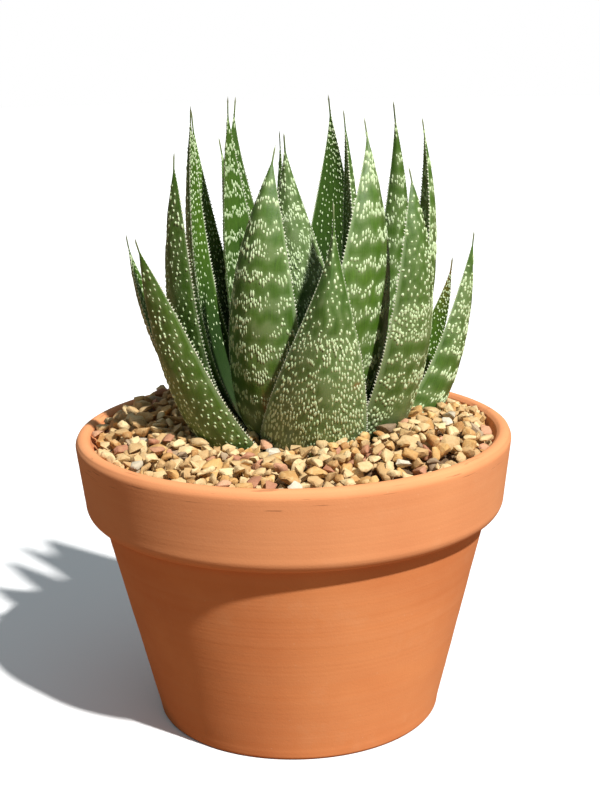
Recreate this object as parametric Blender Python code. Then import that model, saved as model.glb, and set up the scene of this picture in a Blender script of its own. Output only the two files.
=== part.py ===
"""A lace aloe in a round clay pot, top-dressed with gravel.

Metres, +Z up. The origin is the centre of the pot's foot, on the surface that it stands on,
and -Y is the front. Every piece is a solid of its own: the pot, the soil, the gravel, the
stem and each leaf of the rosette.
"""

import math
import random
from collections import namedtuple

import bmesh
import bpy
import numpy as np
from mathutils import Matrix, Vector
from mathutils.bvhtree import BVHTree

MM = 0.001
GAP = 0.3 * MM

# The pot, 150 mm across its lip
POT_SIDES = 36
POT_HEIGHT = 101.4 * MM
LIP_RADIUS = 75.0 * MM
LIP_ROUNDING = 3.0 * MM
MOUTH_RADIUS = 69.9 * MM
MOUTH_ROUNDING = 2.0 * MM
COLLAR_FOOT_RADIUS = 72.6 * MM
COLLAR_FOOT_HEIGHT = 73.1 * MM
COLLAR_ROUNDING = 5.2 * MM
NECK_RADIUS = 66.9 * MM
FOOT_RADIUS = 49.7 * MM
FOOT_CHAMFER = 1.5 * MM
DRAIN_RADIUS = 9.0 * MM
FLOOR_HEIGHT = 8.0 * MM
FLOOR_EDGE_RADIUS = 40.0 * MM
# Heights and radii of the bore: at the floor's edge, behind the collar's foot, at the mouth
BORE_HEIGHTS = (12.0 * MM, 75.0 * MM, POT_HEIGHT - MOUTH_ROUNDING)
BORE_RADII = (43.5 * MM, 61.2 * MM, MOUTH_RADIUS)

# The soil and the stem
SOIL_TOP = 80.0 * MM
STEM_AXIS = (8.0 * MM, 8.0 * MM)
STEM_FOOT = 60.0 * MM
STEM_SIDES = 16
STEM_RADIUS = 9.3 * MM
STEM_SHOULDER = 82.0 * MM
STEM_CROWN_HEIGHT = 101.4 * MM
STEM_CROWN_RADIUS = 4.2 * MM

# The gravel: a relief of angular stones on a jittered lattice. It is heaped round the plant,
# most of all to the front right and the back left, with a well for the crowded leaf bases.
GRAVEL_EDGE_HEIGHT = 99.8 * MM
GRAVEL_LIMIT = 115.0 * MM
HEAP_SLOPE_WIDTH = 16.0 * MM
HEAP_HEIGHT = 5.2 * MM
HEAP_SWAY = 2.9 * MM
HEAP_BEARING = math.radians(-28)
WELL_MOUTH_RADIUS = 22.0 * MM
WELL_MOUTH_HEIGHT = 95.0 * MM
WELL_FOOT_RADIUS = 34.0 * MM
WELL_SIDES = 16
LEAF_CLEARANCE = 1.1 * MM
BLOCK_FOOT = 77.0 * MM
STONE_SPACING = 8.8 * MM
STONE_JITTER = 1.5 * MM
STONE_TOP_SHARE = 0.62
STONE_UNEVENNESS = 1.0 * MM
CREVICE_DEPTH = 3.0 * MM
STONE_SEED = 7

# A leaf's rings of points, by their share of its length
OUTER_POINTS = 7
INNER_POINTS = 5
RING_SHARES = [step / 10.52 for step in range(10)] + [0.92, 0.965]
SPINE_STEPS = 160
SPINE_NUDGE = 0.004
# A leaf's root, and the shape of its cross-section, in millimetres and shares
FIRST_ROOT_RADIUS = 10.0
ROOT_RADIUS_STEP = 0.22
FIRST_ROOT_HEIGHT = 82.0
ROOT_HEIGHT_STEP = 0.75
ELBOW_RISE = 8.0
TIP_PULL = 0.5
ROOT_WIDTH_SHARE = 0.2
SWELL_LENGTH = 0.26
TAPER_START = 0.16
TAPER_LENGTH = 0.80
THICKNESS_FULLNESS = 2.2
THICKNESS_TAPER = 0.8
AWN_HALF_WIDTH = 0.4
AWN_THICKNESS = 0.75
BACK_DEPTH = 0.68
ROOT_ROUNDNESS = 2.2
KEEL_SHARPENING = 0.8
KEEL_SHIFT = 0.18
CUP_DEPTH = 0.22
CUP_START = 0.05
CUP_GROWTH = 0.2

# Teeth along a leaf's margins, one between two rings, and raised spots on its back, each
# in a cell between two rings and two columns of points
FIRST_REPEAT_ROW = 3
LAST_REPEAT_ROW = 10
TOOTH_REACH = 1.1 * MM
TOOTH_HALF_LENGTH = 0.8 * MM
SPOT_COLUMNS = ((1, 3), (2, 4))
SPOT_HALF_LENGTH = 1.1 * MM
SPOT_HALF_WIDTH = 0.65 * MM
SPOT_HEIGHT = 0.5 * MM
SPOT_LEAST_ROOM = 1.0 * MM
SPOT_SEED = 3
FREE_ROOM = 0.6 * MM
LOWEST_REPEAT = 110.0 * MM

# One line for each leaf, from the oldest to the youngest, in millimetres and degrees.
# azimuth: where it leaves the stem. bulge: how far out it swings before it rises.
# lean, side: how its tip leans out and sideways. facing: where its back faces.
# fullness, taper: how long it stays wide, and how fast it then narrows.
Leaf = namedtuple(
    "Leaf", "azimuth bulge lean side width thickness facing fullness taper tip"
)
LEAVES = (
    Leaf(-100, 36, -19, -4, 35.4, 9, -92, 2.3, 1.75, (14.0, -38.0, 183.0)),
    Leaf(125, 49, 12, 0, 24.0, 7, 125, 2.3, 1.1, (-29.0, 56.0, 160.0)),
    Leaf(0, 44, 5, -5, 20.0, 7, -34, 2.6, 1.1, (63.2, 10.0, 166.5)),
    Leaf(-138, 54, 19, 0, 31.0, 8, -146, 2.5, 1.0, (-48.5, -30.0, 172.0)),
    Leaf(79, 50, 9, 0, 24.5, 7, 79, 2.3, 1.1, (12.0, 62.0, 159.5)),
    Leaf(-42, 34, -15, -2, 28.0, 8, -36, 2.8, 0.9, (38.0, -26.0, 192.5)),
    Leaf(146, 48, 13, -4, 24.0, 6, 162, 2.2, 1.1, (-55.5, 8.0, 168.0)),
    Leaf(46, 44, 9, 0, 13.0, 6, 66, 2.3, 1.1, (58.5, 35.0, 153.5)),
    Leaf(-127, 32, -22, -1, 28.8, 8, -117, 2.8, 1.15, (-3.5, -21.0, 199.5)),
    Leaf(110, 42, 9, 6, 22.6, 6, 111, 2.2, 1.2, (-25.0, 49.0, 197.0)),
    Leaf(-177, 49, -3, -4, 26.0, 7, -157, 2.9, 0.9, (-36.0, -16.0, 197.5)),
    Leaf(-68, 28, -17, -2, 34.0, 8, -38, 3.2, 1.4, (24.5, -20.0, 207.5)),
    Leaf(64, 39, 3, 0, 27.0, 6, 62, 2.3, 1.1, (27.5, 46.0, 188.5)),
    Leaf(14, 34, -8, 3, 25.0, 6, 10, 2.4, 1.1, (45.5, 13.0, 205.0)),
    Leaf(138, 38, 5, -1, 16.5, 6, 149, 2.2, 1.1, (-33.5, 35.0, 207.5)),
    Leaf(-176, 39, -3, 0, 22.5, 6, 166, 2.5, 1.0, (-32.0, 11.0, 210.5)),
    Leaf(108, 31, 2, -8, 24.0, 5, 108, 2.0, 1.2, (-18.0, 39.0, 211.5)),
    Leaf(150, 26, -2, 0, 24.0, 6, 145, 2.3, 1.2, (-20.0, 22.0, 212.5)),
    Leaf(28, 26, -6, 2, 15.0, 5, -74, 2.4, 1.2, (36.0, 13.5, 210.5)),
    Leaf(-174, 19, 2, -1, 19.0, 5, -178, 2.1, 1.2, (-2.5, 19.0, 201.0)),
    Leaf(-72, 13, 0, -2, 24.0, 5, -87, 2.3, 1.3, (-1.0, 2.0, 201.5)),
    Leaf(88, 24, 1, 6, 24.0, 5, 66, 2.3, 1.3, (14.5, 30.0, 212.0)),
    Leaf(8, 15, -5, 2, 20.0, 5, 14, 2.2, 1.2, (19.0, 12.0, 208.0)),
)


def clear_scene():
    for obj in list(bpy.data.objects):
        bpy.data.objects.remove(obj, do_unlink=True)


def material(name, colour, roughness):
    finish = bpy.data.materials.new(name)
    finish.use_nodes = True
    shader = finish.node_tree.nodes["Principled BSDF"]
    shader.inputs["Base Color"].default_value = (*colour, 1.0)
    shader.inputs["Roughness"].default_value = roughness
    shader.inputs["Metallic"].default_value = 0.0
    return finish


def new_object(name, mesh, finish=None, collection=None):
    obj = bpy.data.objects.new(name, mesh)
    (collection or bpy.context.scene.collection).objects.link(obj)
    if finish:
        mesh.materials.append(finish)
    return obj


def mesh_from(name, bm):
    bmesh.ops.recalc_face_normals(bm, faces=bm.faces)
    mesh = bpy.data.meshes.new(name)
    bm.to_mesh(mesh)
    bm.free()
    return mesh


def shade(obj, crease_degrees):
    obj.data.shade_smooth()
    obj.data.set_sharp_from_angle(angle=math.radians(crease_degrees))


def apply_modifiers(obj):
    """Keeps the evaluated mesh as the object's own, with no modifier left."""
    bpy.context.view_layer.update()
    graph = bpy.context.evaluated_depsgraph_get()
    mesh = bpy.data.meshes.new_from_object(obj.evaluated_get(graph))
    obj.modifiers.clear()
    obj.data = mesh


def combine(obj, collection, operation, solver="EXACT"):
    """Joins or cuts an object with all those of a collection, which it then removes."""
    modifier = obj.modifiers.new(operation.title(), "BOOLEAN")
    modifier.operation = operation
    modifier.operand_type = "COLLECTION"
    modifier.collection = collection
    modifier.solver = solver
    apply_modifiers(obj)
    for other in list(collection.objects):
        bpy.data.objects.remove(other, do_unlink=True)
    bpy.data.collections.remove(collection)


def helper_collection(name):
    collection = bpy.data.collections.new(name)
    bpy.context.scene.collection.children.link(collection)
    return collection


def keep_largest_island(mesh):
    """Drops the loose scraps that a cut leaves beside the main body."""
    bm = bmesh.new()
    bm.from_mesh(mesh)
    waiting = set(bm.verts)
    islands = []
    while waiting:
        island = set()
        edge_of_search = [waiting.pop()]
        while edge_of_search:
            vert = edge_of_search.pop()
            island.add(vert)
            for edge in vert.link_edges:
                other = edge.other_vert(vert)
                if other in waiting:
                    waiting.remove(other)
                    edge_of_search.append(other)
        islands.append(island)
    islands.sort(key=len)
    scraps = [vert for island in islands[:-1] for vert in island]
    bmesh.ops.delete(bm, geom=scraps, context="VERTS")
    bm.to_mesh(mesh)
    bm.free()


def revolved(name, profile, sides):
    """A closed or axis-to-axis profile of (radius, height) points, turned about Z."""
    bm = bmesh.new()
    verts = [bm.verts.new((radius, 0.0, height)) for radius, height in profile]
    ends = list(zip(verts, verts[1:]))
    if profile[0][0] > 0:
        ends.append((verts[-1], verts[0]))
    edges = [bm.edges.new(pair) for pair in ends]
    bmesh.ops.spin(
        bm,
        geom=verts + edges,
        cent=(0, 0, 0),
        axis=(0, 0, 1),
        angle=math.tau,
        steps=sides,
        use_merge=True,
        use_duplicate=False,
    )
    bmesh.ops.remove_doubles(bm, verts=bm.verts, dist=0.01 * MM)
    return mesh_from(name, bm)


def arc(centre, radii, start, end, steps):
    """Points on a quarter or less of an ellipse, angles in degrees from the radius."""
    points = []
    for step in range(steps + 1):
        angle = math.radians(start + (end - start) * step / steps)
        points.append(
            (
                centre[0] + radii[0] * math.cos(angle),
                centre[1] + radii[1] * math.sin(angle),
            )
        )
    return points


def bore_radius(height):
    return float(np.interp(height, BORE_HEIGHTS, BORE_RADII))


def make_pot(finish):
    collar_centre = (
        COLLAR_FOOT_RADIUS - COLLAR_ROUNDING,
        COLLAR_FOOT_HEIGHT + COLLAR_ROUNDING,
    )
    lip_centre = (LIP_RADIUS - LIP_ROUNDING, POT_HEIGHT - LIP_ROUNDING)
    mouth_centre = (MOUTH_RADIUS + MOUTH_ROUNDING, POT_HEIGHT - MOUTH_ROUNDING)
    profile = [
        (DRAIN_RADIUS, 0.0),
        (FOOT_RADIUS - FOOT_CHAMFER, 0.0),
        (FOOT_RADIUS, FOOT_CHAMFER),
        (NECK_RADIUS, COLLAR_FOOT_HEIGHT),
    ]
    profile += arc(collar_centre, (COLLAR_ROUNDING, COLLAR_ROUNDING), -80, 0, 2)
    profile += arc(lip_centre, (LIP_ROUNDING, LIP_ROUNDING), 0, 90, 3)
    profile += arc(mouth_centre, (MOUTH_ROUNDING, MOUTH_ROUNDING), 110, 180, 2)
    profile += [(BORE_RADII[1], BORE_HEIGHTS[1]), (BORE_RADII[0], BORE_HEIGHTS[0])]
    profile += [(FLOOR_EDGE_RADIUS, FLOOR_HEIGHT), (DRAIN_RADIUS, FLOOR_HEIGHT)]
    pot = new_object("pot", revolved("pot", profile, POT_SIDES), finish)
    shade(pot, 35)


def fill_profile(bottom, top):
    """Profile of a fill that lies in the pot's bore, GAP clear of its wall and floor."""
    heights = [bottom] + [h for h in BORE_HEIGHTS if bottom < h < top] + [top]
    wall = [(bore_radius(height) - GAP, height) for height in heights]
    if bottom < BORE_HEIGHTS[0]:
        wall[0] = (FLOOR_EDGE_RADIUS - GAP, bottom)
    return [(0.0, bottom)] + wall + [(0.0, top)]


def upright_cylinder(name, radius, low, high, sides, collection):
    bm = bmesh.new()
    bmesh.ops.create_cone(
        bm,
        cap_ends=True,
        segments=sides,
        radius1=radius,
        radius2=radius,
        depth=high - low,
        matrix=Matrix.Translation((*STEM_AXIS, (low + high) / 2)),
    )
    return new_object(name, mesh_from(name, bm), collection=collection)


def make_soil(finish):
    profile = fill_profile(FLOOR_HEIGHT + GAP, SOIL_TOP)
    soil = new_object("soil", revolved("soil", profile, POT_SIDES), finish)
    hole = helper_collection("stem hole")
    upright_cylinder(
        "hole", STEM_RADIUS + GAP, STEM_FOOT - GAP, 2 * SOIL_TOP, STEM_SIDES, hole
    )
    combine(soil, hole, "DIFFERENCE")
    shade(soil, 35)


def make_stem(finish):
    profile = [
        (0.0, STEM_FOOT),
        (STEM_RADIUS, STEM_FOOT),
        (STEM_RADIUS, STEM_SHOULDER),
        (STEM_CROWN_RADIUS, STEM_CROWN_HEIGHT - STEM_CROWN_RADIUS / 2),
        (STEM_CROWN_RADIUS / 2, STEM_CROWN_HEIGHT),
        (0.0, STEM_CROWN_HEIGHT),
    ]
    stem = new_object("stem", revolved("stem", profile, STEM_SIDES), finish)
    stem.location = (*STEM_AXIS, 0.0)
    shade(stem, 35)


def heading(degrees):
    """The level direction at an angle from +X, counter-clockwise seen from above."""
    angle = math.radians(degrees)
    return np.array([math.cos(angle), math.sin(angle), 0.0])


def spine(leaf, age):
    """Points on the leaf's middle line from root to tip, a cubic Bezier curve."""
    up = np.array([0.0, 0.0, 1.0])
    stem = np.array([STEM_AXIS[0] / MM, STEM_AXIS[1] / MM, 0.0])
    out = heading(leaf.azimuth)
    root_height = (FIRST_ROOT_HEIGHT + ROOT_HEIGHT_STEP * age) * up
    root = stem + (FIRST_ROOT_RADIUS - ROOT_RADIUS_STEP * age) * out + root_height
    elbow = stem + leaf.bulge * out + root_height + ELBOW_RISE * up
    tip = np.array(leaf.tip)
    lean = math.radians(leaf.lean)
    rise = math.sin(lean) * out + math.cos(lean) * up
    rise += math.sin(math.radians(leaf.side)) * heading(leaf.azimuth + 90)
    pull = TIP_PULL * np.linalg.norm(tip - elbow)
    shoulder = tip - pull * rise / np.linalg.norm(rise)
    t = np.linspace(0.0, 1.0, SPINE_STEPS)[:, None]
    return (
        (1 - t) ** 3 * root
        + 3 * (1 - t) ** 2 * t * elbow
        + 3 * (1 - t) * t**2 * shoulder
        + t**3 * tip
    )


def at_shares(curve, shares):
    """Points of a curve at shares of its length."""
    steps = np.linalg.norm(np.diff(curve, axis=0), axis=1)
    lengths = np.concatenate([[0.0], np.cumsum(steps)])
    wanted = np.asarray(shares) * lengths[-1]
    return np.stack([np.interp(wanted, lengths, curve[:, i]) for i in range(3)], -1)


def swell(shares, fullness, taper):
    """Share of the full width or thickness: narrow at the root, full, then pointed."""
    gone = np.clip((shares - TAPER_START) / TAPER_LENGTH, 0.0, 1.0)
    grown = np.clip(shares / SWELL_LENGTH, 0.0, 1.0)
    grown = grown * grown * (3 - 2 * grown)
    root = ROOT_WIDTH_SHARE + (1 - ROOT_WIDTH_SHARE) * grown
    return (1 - gone**fullness) ** taper * root


def leaf_rings(leaf, age):
    """Closed rings of points round the leaf, first over its back and then its face."""
    shares = np.array(RING_SHARES)
    curve = spine(leaf, age)
    centres = at_shares(curve, shares)
    ahead = at_shares(curve, np.clip(shares + SPINE_NUDGE, 0, 1))
    behind = at_shares(curve, np.clip(shares - SPINE_NUDGE, 0, 1))
    along = (ahead - behind) / np.linalg.norm(ahead - behind, axis=1)[:, None]
    back = heading(leaf.facing)
    outward = back - (along @ back)[:, None] * along
    outward /= np.linalg.norm(outward, axis=1)[:, None]
    across = np.cross(along, outward)
    half = leaf.width / 2 * swell(shares, leaf.fullness, leaf.taper)
    half = np.maximum(half, AWN_HALF_WIDTH)
    thick = leaf.thickness * swell(shares, THICKNESS_FULLNESS, THICKNESS_TAPER)
    thick = np.maximum(thick, AWN_THICKNESS)
    cupping = np.clip((shares - CUP_START) / CUP_GROWTH, 0.0, 1.0)
    rings = []
    for u in np.linspace(-1.0, 1.0, OUTER_POINTS):
        ridge = u + KEEL_SHIFT * shares * (1 - u * u)
        power = ROOT_ROUNDNESS - KEEL_SHARPENING * shares
        depth = BACK_DEPTH * thick * (1 - abs(ridge) ** power) ** 0.75
        depth -= CUP_DEPTH * half * u * u * cupping
        rings.append(centres + across * (half * u)[:, None] + outward * depth[:, None])
    for u in np.linspace(1.0, -1.0, INNER_POINTS)[1:-1]:
        depth = -(1 - BACK_DEPTH) * thick * (1 - u * u) * (1 - 0.9 * cupping)
        depth -= CUP_DEPTH * half * u * u * cupping
        rings.append(centres + across * (half * u)[:, None] + outward * depth[:, None])
    return [[Vector(point) for point in ring] for ring in np.stack(rings, axis=1) * MM]


def has_room(point, neighbours):
    if point.z < LOWEST_REPEAT:
        return False
    return all(
        tree.find_nearest(point, FREE_ROOM)[0] is None for tree in neighbours
    )


def tooth(start, end, outward):
    """The three points that a tooth adds to a margin, between two rings."""
    along = (end - start).normalized()
    middle = (start + end) / 2
    outward = (outward - outward.dot(along) * along).normalized()
    half_length = min(TOOTH_HALF_LENGTH, 0.3 * (end - start).length)
    peak = middle + TOOTH_REACH * outward + 0.5 * half_length * along
    return [middle - half_length * along, peak, middle + half_length * along]


def spot(corners, draw):
    """A raised spot's four points on a cell of the back, and its peak."""
    low_left, low_right, high_right, high_left = corners
    along = (high_left + high_right - low_left - low_right) / 2
    across = (low_right + high_right - low_left - high_left) / 2
    middle = sum(corners, Vector()) / 4
    middle += draw.uniform(-0.15, 0.15) * along + draw.uniform(-0.15, 0.15) * across
    up = across.cross(along).normalized()
    half_length = min(SPOT_HALF_LENGTH, 0.3 * along.length) * along.normalized()
    half_width = min(SPOT_HALF_WIDTH, 0.3 * across.length) * across.normalized()
    base = [
        middle - half_length - half_width,
        middle - half_length + half_width,
        middle + half_length + half_width,
        middle + half_length - half_width,
    ]
    return base, middle + SPOT_HEIGHT * up


def margin_points(bm, rings, loops, column, neighbours):
    """The points of the tooth between each two rings on a margin, or none."""
    opposite = OUTER_POINTS - 1 - column
    rows = []
    for row in range(len(loops) - 1):
        points = []
        if FIRST_REPEAT_ROW <= row < LAST_REPEAT_ROW:
            start, end = rings[row][column], rings[row + 1][column]
            points = tooth(start, end, start - rings[row][opposite])
            if not has_room(points[1], neighbours):
                points = []
        rows.append([bm.verts.new(point) for point in points])
    return rows


def add_toothed_cell(bm, corners, points):
    """A cell whose second and third corners are on a margin, drawn out to a tooth."""
    low_inside, low, high, high_inside = corners
    foot, peak, head = points
    bm.faces.new((low_inside, low, foot))
    bm.faces.new((low_inside, foot, peak))
    bm.faces.new((low_inside, peak, high_inside))
    bm.faces.new((high_inside, peak, head))
    bm.faces.new((high_inside, head, high))


def add_spotted_cell(bm, corners, draw, neighbours):
    """A cell of the back with a raised spot on it, or a bare one where it is narrow."""
    base, peak = spot([vert.co for vert in corners], draw)
    narrow = (corners[1].co - corners[0].co).length < SPOT_LEAST_ROOM
    if narrow or not has_room(peak, neighbours):
        bm.faces.new(corners)
        return
    base = [bm.verts.new(point) for point in base]
    peak = bm.verts.new(peak)
    for i in range(4):
        j = (i + 1) % 4
        bm.faces.new((corners[i], corners[j], base[j], base[i]))
        bm.faces.new((base[i], base[j], peak))


def skin(bm, rings, neighbours, draw):
    """The faces of a leaf. With no neighbours given it is left bare."""
    loops = [[bm.verts.new(point) for point in ring] for ring in rings]
    sides = len(loops[0])
    last = OUTER_POINTS - 1
    teeth = {}
    if neighbours is not None:
        teeth = {
            column: margin_points(bm, rings, loops, column, neighbours)
            for column in (0, last)
        }
    for row, (lower, upper) in enumerate(zip(loops, loops[1:])):
        spotted = ()
        if neighbours is not None and FIRST_REPEAT_ROW <= row < LAST_REPEAT_ROW:
            spotted = SPOT_COLUMNS[row % 2]
        for i in range(sides):
            j = (i + 1) % sides
            corners = (lower[i], lower[j], upper[j], upper[i])
            mirrored = (lower[j], lower[i], upper[i], upper[j])
            if i in spotted:
                add_spotted_cell(bm, corners, draw, neighbours)
            elif j in teeth and teeth[j][row]:
                add_toothed_cell(bm, corners, teeth[j][row])
            elif i in teeth and teeth[i][row]:
                add_toothed_cell(bm, mirrored, teeth[i][row])
            else:
                bm.faces.new(corners)
    return loops


def leaf_mesh(name, leaf, age, neighbours=None):
    rings = leaf_rings(leaf, age)
    draw = random.Random(SPOT_SEED + age)
    bm = bmesh.new()
    loops = skin(bm, rings, neighbours, draw)
    tip = bm.verts.new(Vector(leaf.tip) * MM)
    root = bm.verts.new(sum(rings[0], Vector()) / len(rings[0]))
    for i in range(len(rings[0])):
        j = (i + 1) % len(rings[0])
        bm.faces.new((loops[-1][i], loops[-1][j], tip))
        bm.faces.new((loops[0][j], loops[0][i], root))
    bmesh.ops.triangulate(bm, faces=bm.faces)
    return mesh_from(name, bm)


def tree_of(mesh):
    bm = bmesh.new()
    bm.from_mesh(mesh)
    tree = BVHTree.FromBMesh(bm)
    bm.free()
    return tree


def make_leaves(finish, bare_leaves):
    trees = [tree_of(mesh) for mesh in bare_leaves]
    for age, leaf in enumerate(LEAVES):
        name = f"leaf_{age + 1:02d}"
        neighbours = trees[:age] + trees[age + 1 :]
        obj = new_object(name, leaf_mesh(name, leaf, age, neighbours), finish)
        shade(obj, 40)


def gravel_height(point):
    """Height of the stones' tops, which rises from the pot's wall to the plant."""
    inward = (MOUTH_RADIUS - math.hypot(*point)) / HEAP_SLOPE_WIDTH
    share = min(1.0, max(0.0, inward))
    bearing = math.atan2(point[1], point[0])
    crown = HEAP_HEIGHT + HEAP_SWAY * math.cos(2 * (bearing - HEAP_BEARING))
    return GRAVEL_EDGE_HEIGHT + share * share * (3 - 2 * share) * crown


def stone_centres(draw):
    """Jittered points of a triangular lattice that covers the pot's mouth."""
    steps = math.ceil(LIP_RADIUS / STONE_SPACING * 1.3)
    centres = {}
    for i in range(-steps, steps + 1):
        for j in range(-steps, steps + 1):
            x = (i + j / 2) * STONE_SPACING
            y = j * math.sqrt(3) / 2 * STONE_SPACING
            shift = [draw.uniform(-STONE_JITTER, STONE_JITTER) for _ in range(2)]
            centres[i, j] = Vector((x + shift[0], y + shift[1]))
    return centres


def stone_corner_keys(i, j):
    """The six corners round a stone, each the middle of three neighbouring centres."""
    return [
        ((i, j), (i + 1, j), (i, j + 1)),
        ((i, j), (i - 1, j + 1), (i, j + 1)),
        ((i, j), (i - 1, j), (i - 1, j + 1)),
        ((i, j), (i, j - 1), (i - 1, j)),
        ((i, j), (i, j - 1), (i + 1, j - 1)),
        ((i, j), (i + 1, j - 1), (i + 1, j)),
    ]


def add_stone(bm, centre, corners, draw):
    """One stone: facets that rise from the crevices round it to a tilted top."""
    top = []
    first = draw.randrange(2)
    for corner in corners[first::2]:
        point = centre.lerp(corner.co.xy, STONE_TOP_SHARE + draw.uniform(-0.15, 0.15))
        height = gravel_height(centre) - draw.uniform(0.0, STONE_UNEVENNESS)
        top.append(bm.verts.new((*point, height)))
    for i in range(3):
        here = corners[first + 2 * i]
        between = corners[(first + 2 * i + 1) % 6]
        ahead = corners[(first + 2 * i + 2) % 6]
        bm.faces.new((here, between, top[i]))
        bm.faces.new((between, top[(i + 1) % 3], top[i]))
        bm.faces.new((between, ahead, top[(i + 1) % 3]))
    bm.faces.new(top)


def stone_block():
    """A block deeper and wider than the gravel, with the stones as its top."""
    draw = random.Random(STONE_SEED)
    centres = stone_centres(draw)
    bm = bmesh.new()
    corner_verts = {}
    for (i, j), centre in centres.items():
        keys = [tuple(sorted(key)) for key in stone_corner_keys(i, j)]
        inside = centre.length < LIP_RADIUS + STONE_SPACING
        if not inside or any(name not in centres for key in keys for name in key):
            continue
        for key in keys:
            if key not in corner_verts:
                point = sum((centres[name] for name in key), Vector((0, 0))) / 3
                height = gravel_height(point) - CREVICE_DEPTH
                corner_verts[key] = bm.verts.new((*point, height))
        add_stone(bm, centre, [corner_verts[key] for key in keys], draw)
    bmesh.ops.triangulate(bm, faces=bm.faces)
    underside = bmesh.ops.extrude_face_region(bm, geom=bm.faces[:])["geom"]
    for vert in underside:
        if isinstance(vert, bmesh.types.BMVert):
            vert.co.z = BLOCK_FOOT
    return mesh_from("stones", bm)


def well_mesh():
    """The room under the rosette, where leaf bases crowd out the stones."""
    profile = [
        (0.0, SOIL_TOP - GAP),
        (WELL_FOOT_RADIUS, SOIL_TOP - GAP),
        (WELL_MOUTH_RADIUS, WELL_MOUTH_HEIGHT),
        (WELL_MOUTH_RADIUS, 2 * POT_HEIGHT),
        (0.0, 2 * POT_HEIGHT),
    ]
    well = revolved("well", profile, WELL_SIDES)
    well.transform(Matrix.Translation((*STEM_AXIS, 0.0)))
    return well


def make_gravel(finish, bare_leaves):
    gravel = new_object("gravel", stone_block(), finish)
    fill = helper_collection("fill")
    profile = fill_profile(SOIL_TOP + GAP, GRAVEL_LIMIT)
    new_object("fill", revolved("fill", profile, POT_SIDES), collection=fill)
    combine(gravel, fill, "INTERSECT", "MANIFOLD")
    cutters = helper_collection("clearances")
    for mesh in bare_leaves:
        cutter = new_object("clearance", mesh, collection=cutters)
        swollen = cutter.modifiers.new("Clearance", "DISPLACE")
        swollen.strength = LEAF_CLEARANCE
        swollen.mid_level = 0.0
    new_object("well", well_mesh(), collection=cutters)
    combine(gravel, cutters, "DIFFERENCE", "MANIFOLD")
    keep_largest_island(gravel.data)
    shade(gravel, 25)


def main():
    clear_scene()
    clay = material("terracotta", (0.60, 0.25, 0.11), 0.85)
    earth = material("potting_soil", (0.05, 0.03, 0.02), 0.95)
    stone = material("gravel", (0.55, 0.38, 0.20), 0.7)
    wood = material("stem", (0.20, 0.14, 0.07), 0.8)
    green = material("leaf", (0.10, 0.20, 0.05), 0.45)
    make_pot(clay)
    make_soil(earth)
    make_stem(wood)
    bare_leaves = [leaf_mesh("bare", leaf, age) for age, leaf in enumerate(LEAVES)]
    make_leaves(green, bare_leaves)
    make_gravel(stone, bare_leaves)


main()
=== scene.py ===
"""Looks for the potted lace aloe: the clay pot, loose gravel and every leaf in full detail.

Lengths are in millimetres until a mesh is made. The leaves and the pot follow the same
formulas as the part, so each fine piece stands where its CAD node does.
"""

import math
import random
from collections import namedtuple

import bmesh
import bpy
import numpy as np
from mathutils import Euler, Matrix, Vector, noise
from mathutils.bvhtree import BVHTree


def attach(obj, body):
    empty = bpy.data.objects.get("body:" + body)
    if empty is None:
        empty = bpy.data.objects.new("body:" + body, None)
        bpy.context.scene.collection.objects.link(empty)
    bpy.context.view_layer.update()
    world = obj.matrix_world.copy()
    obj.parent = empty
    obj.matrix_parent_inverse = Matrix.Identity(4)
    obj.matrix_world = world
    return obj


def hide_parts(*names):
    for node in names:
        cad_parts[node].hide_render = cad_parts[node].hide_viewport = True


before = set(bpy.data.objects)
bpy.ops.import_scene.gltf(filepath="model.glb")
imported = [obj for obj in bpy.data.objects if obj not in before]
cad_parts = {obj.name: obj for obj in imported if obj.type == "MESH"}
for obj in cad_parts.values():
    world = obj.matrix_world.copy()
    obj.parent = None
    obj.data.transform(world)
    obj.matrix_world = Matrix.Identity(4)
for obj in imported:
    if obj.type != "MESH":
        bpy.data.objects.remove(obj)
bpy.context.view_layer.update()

MM = 0.001

# The camera, solved from the pot's rim, collar and foot
PHOTO_HEIGHT = 800
FOCAL_PIXELS = 1487.8
CAMERA_PLACE = (2.5, -496.6, 237.7)
CAMERA_PITCH = 0.251
CAMERA_ROLL = -0.021
SENSOR_HEIGHT = 36.0

# The light
KEY_AZIMUTH = -53
KEY_ELEVATION = 50
KEY_WIDTH = 2.2
KEY_STRENGTH = 5.2
HORIZON_STRENGTH = 0.05
ZENITH_STRENGTH = 0.46
SKY_COLOUR = (0.80, 0.92, 1.0, 1.0)
WHITE = (1.0, 1.0, 1.0, 1.0)

# The pot
POT_SIDES = 200
POT_HEIGHT = 101.4
LIP_RADIUS = 75.0
LIP_ROUNDING = 3.0
MOUTH_RADIUS = 69.9
MOUTH_ROUNDING = 2.0
COLLAR_FOOT_RADIUS = 72.6
COLLAR_FOOT_HEIGHT = 73.1
COLLAR_ROUNDING = 5.2
NECK_RADIUS = 66.9
FOOT_RADIUS = 49.7
FOOT_CHAMFER = 1.5
DRAIN_RADIUS = 9.0
FLOOR_HEIGHT = 8.0
FLOOR_EDGE_RADIUS = 40.0
POT_STEP = 2.2
POT_SHARP_ANGLE = 50
TURNING_RELIEF = 0.05
MARKS_FROM_RADIUS = 44.9
MARKS_FROM_HEIGHT = 3.0
MARKS_TO_HEIGHT = POT_HEIGHT - 1.0
# The corners inside, below the mouth: radius and height
BORE_CORNERS = ((61.2, 75.0), (43.5, 12.0))

# The leaves: how finely each is built
RINGS = 104
LAST_RING = 0.985
BACK_COLUMNS = 29
FACE_COLUMNS = 13
SPINE_STEPS = 400
SPINE_NUDGE = 0.002
NORMAL_NUDGE = 0.003
NORMAL_NUDGE_ACROSS = 0.015
LEAF_SHARP_ANGLE = 60
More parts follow.
